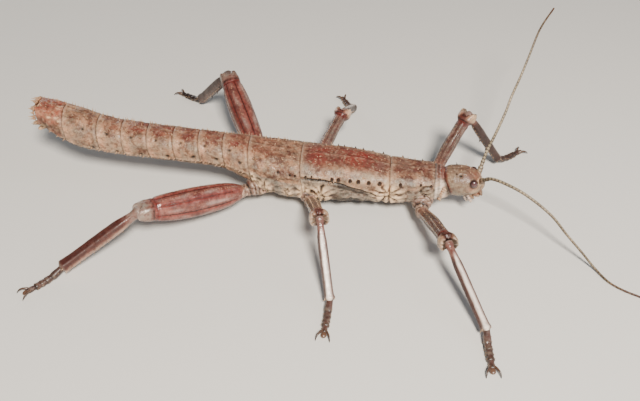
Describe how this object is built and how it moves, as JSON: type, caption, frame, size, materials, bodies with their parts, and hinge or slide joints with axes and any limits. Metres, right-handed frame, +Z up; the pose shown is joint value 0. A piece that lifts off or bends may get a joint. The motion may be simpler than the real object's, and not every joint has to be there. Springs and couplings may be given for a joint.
{
  "type": "giant stick insect",
  "caption": "Giant stick insect standing with its legs spread and one feeler raised, a still life-size museum model.",
  "frame": {"origin": "on the ground under the middle of the whole outline", "axes": "+X towards the head along the body, +Y to the left side of the insect, +Z up"},
  "size_m": [0.1578, 0.1064, 0.0397],
  "materials": {
    "body_cuticle": "rough grey-brown cuticle with tan bands",
    "head_cuticle": "smooth grey-brown cuticle",
    "leg_cuticle": "red-brown ridged cuticle with a low gloss",
    "pale_cuticle": "pale tan cuticle at hips and tail",
    "antenna": "pale tan ringed feeler",
    "eye": "dark glossy eye",
    "claw": "dark horn",
    "mouthparts": "red-brown jaws with pale palps"
  },
  "bodies": {
    "root": {"head": "head_cuticle", "eye_left": "eye", "eye_right": "eye", "mouthparts": "mouthparts", "maxillary_palp_left": "mouthparts", "maxillary_palp_right": "mouthparts", "labial_palp_left": "mouthparts", "labial_palp_right": "mouthparts", "antenna_left_base": "antenna", "antenna_left_middle": "antenna", "antenna_left_tip": "antenna", "antenna_right_base": "antenna", "antenna_right_middle": "antenna", "antenna_right_tip": "antenna", "prothorax": "body_cuticle", "mesothorax": "body_cuticle", "metathorax": "body_cuticle", "abdomen_2": "body_cuticle", "abdomen_3": "body_cuticle", "abdomen_4": "body_cuticle", "abdomen_5": "body_cuticle", "abdomen_6": "body_cuticle", "abdomen_7": "body_cuticle", "abdomen_8": "body_cuticle", "abdomen_9": "body_cuticle", "abdomen_10": "body_cuticle", "cercus_left": "pale_cuticle", "cercus_right": "pale_cuticle", "coxa_front_right": "pale_cuticle", "femur_front_right": "leg_cuticle", "tibia_front_right": "leg_cuticle", "foot_front_right": "leg_cuticle", "claws_front_right": "claw", "coxa_front_left": "pale_cuticle", "femur_front_left": "leg_cuticle", "tibia_front_left": "leg_cuticle", "foot_front_left": "leg_cuticle", "claws_front_left": "claw", "coxa_middle_right": "pale_cuticle", "femur_middle_right": "leg_cuticle", "tibia_middle_right": "leg_cuticle", "foot_middle_right": "leg_cuticle", "claws_middle_right": "claw", "coxa_middle_left": "pale_cuticle", "femur_middle_left": "leg_cuticle", "tibia_middle_left": "leg_cuticle", "foot_middle_left": "leg_cuticle", "claws_middle_left": "claw", "coxa_hind_right": "pale_cuticle", "femur_hind_right": "leg_cuticle", "tibia_hind_right": "leg_cuticle", "foot_hind_right": "leg_cuticle", "claws_hind_right": "claw", "coxa_hind_left": "pale_cuticle", "femur_hind_left": "leg_cuticle", "tibia_hind_left": "leg_cuticle", "foot_hind_left": "leg_cuticle", "claws_hind_left": "claw"}
  },
  "joints": []
}
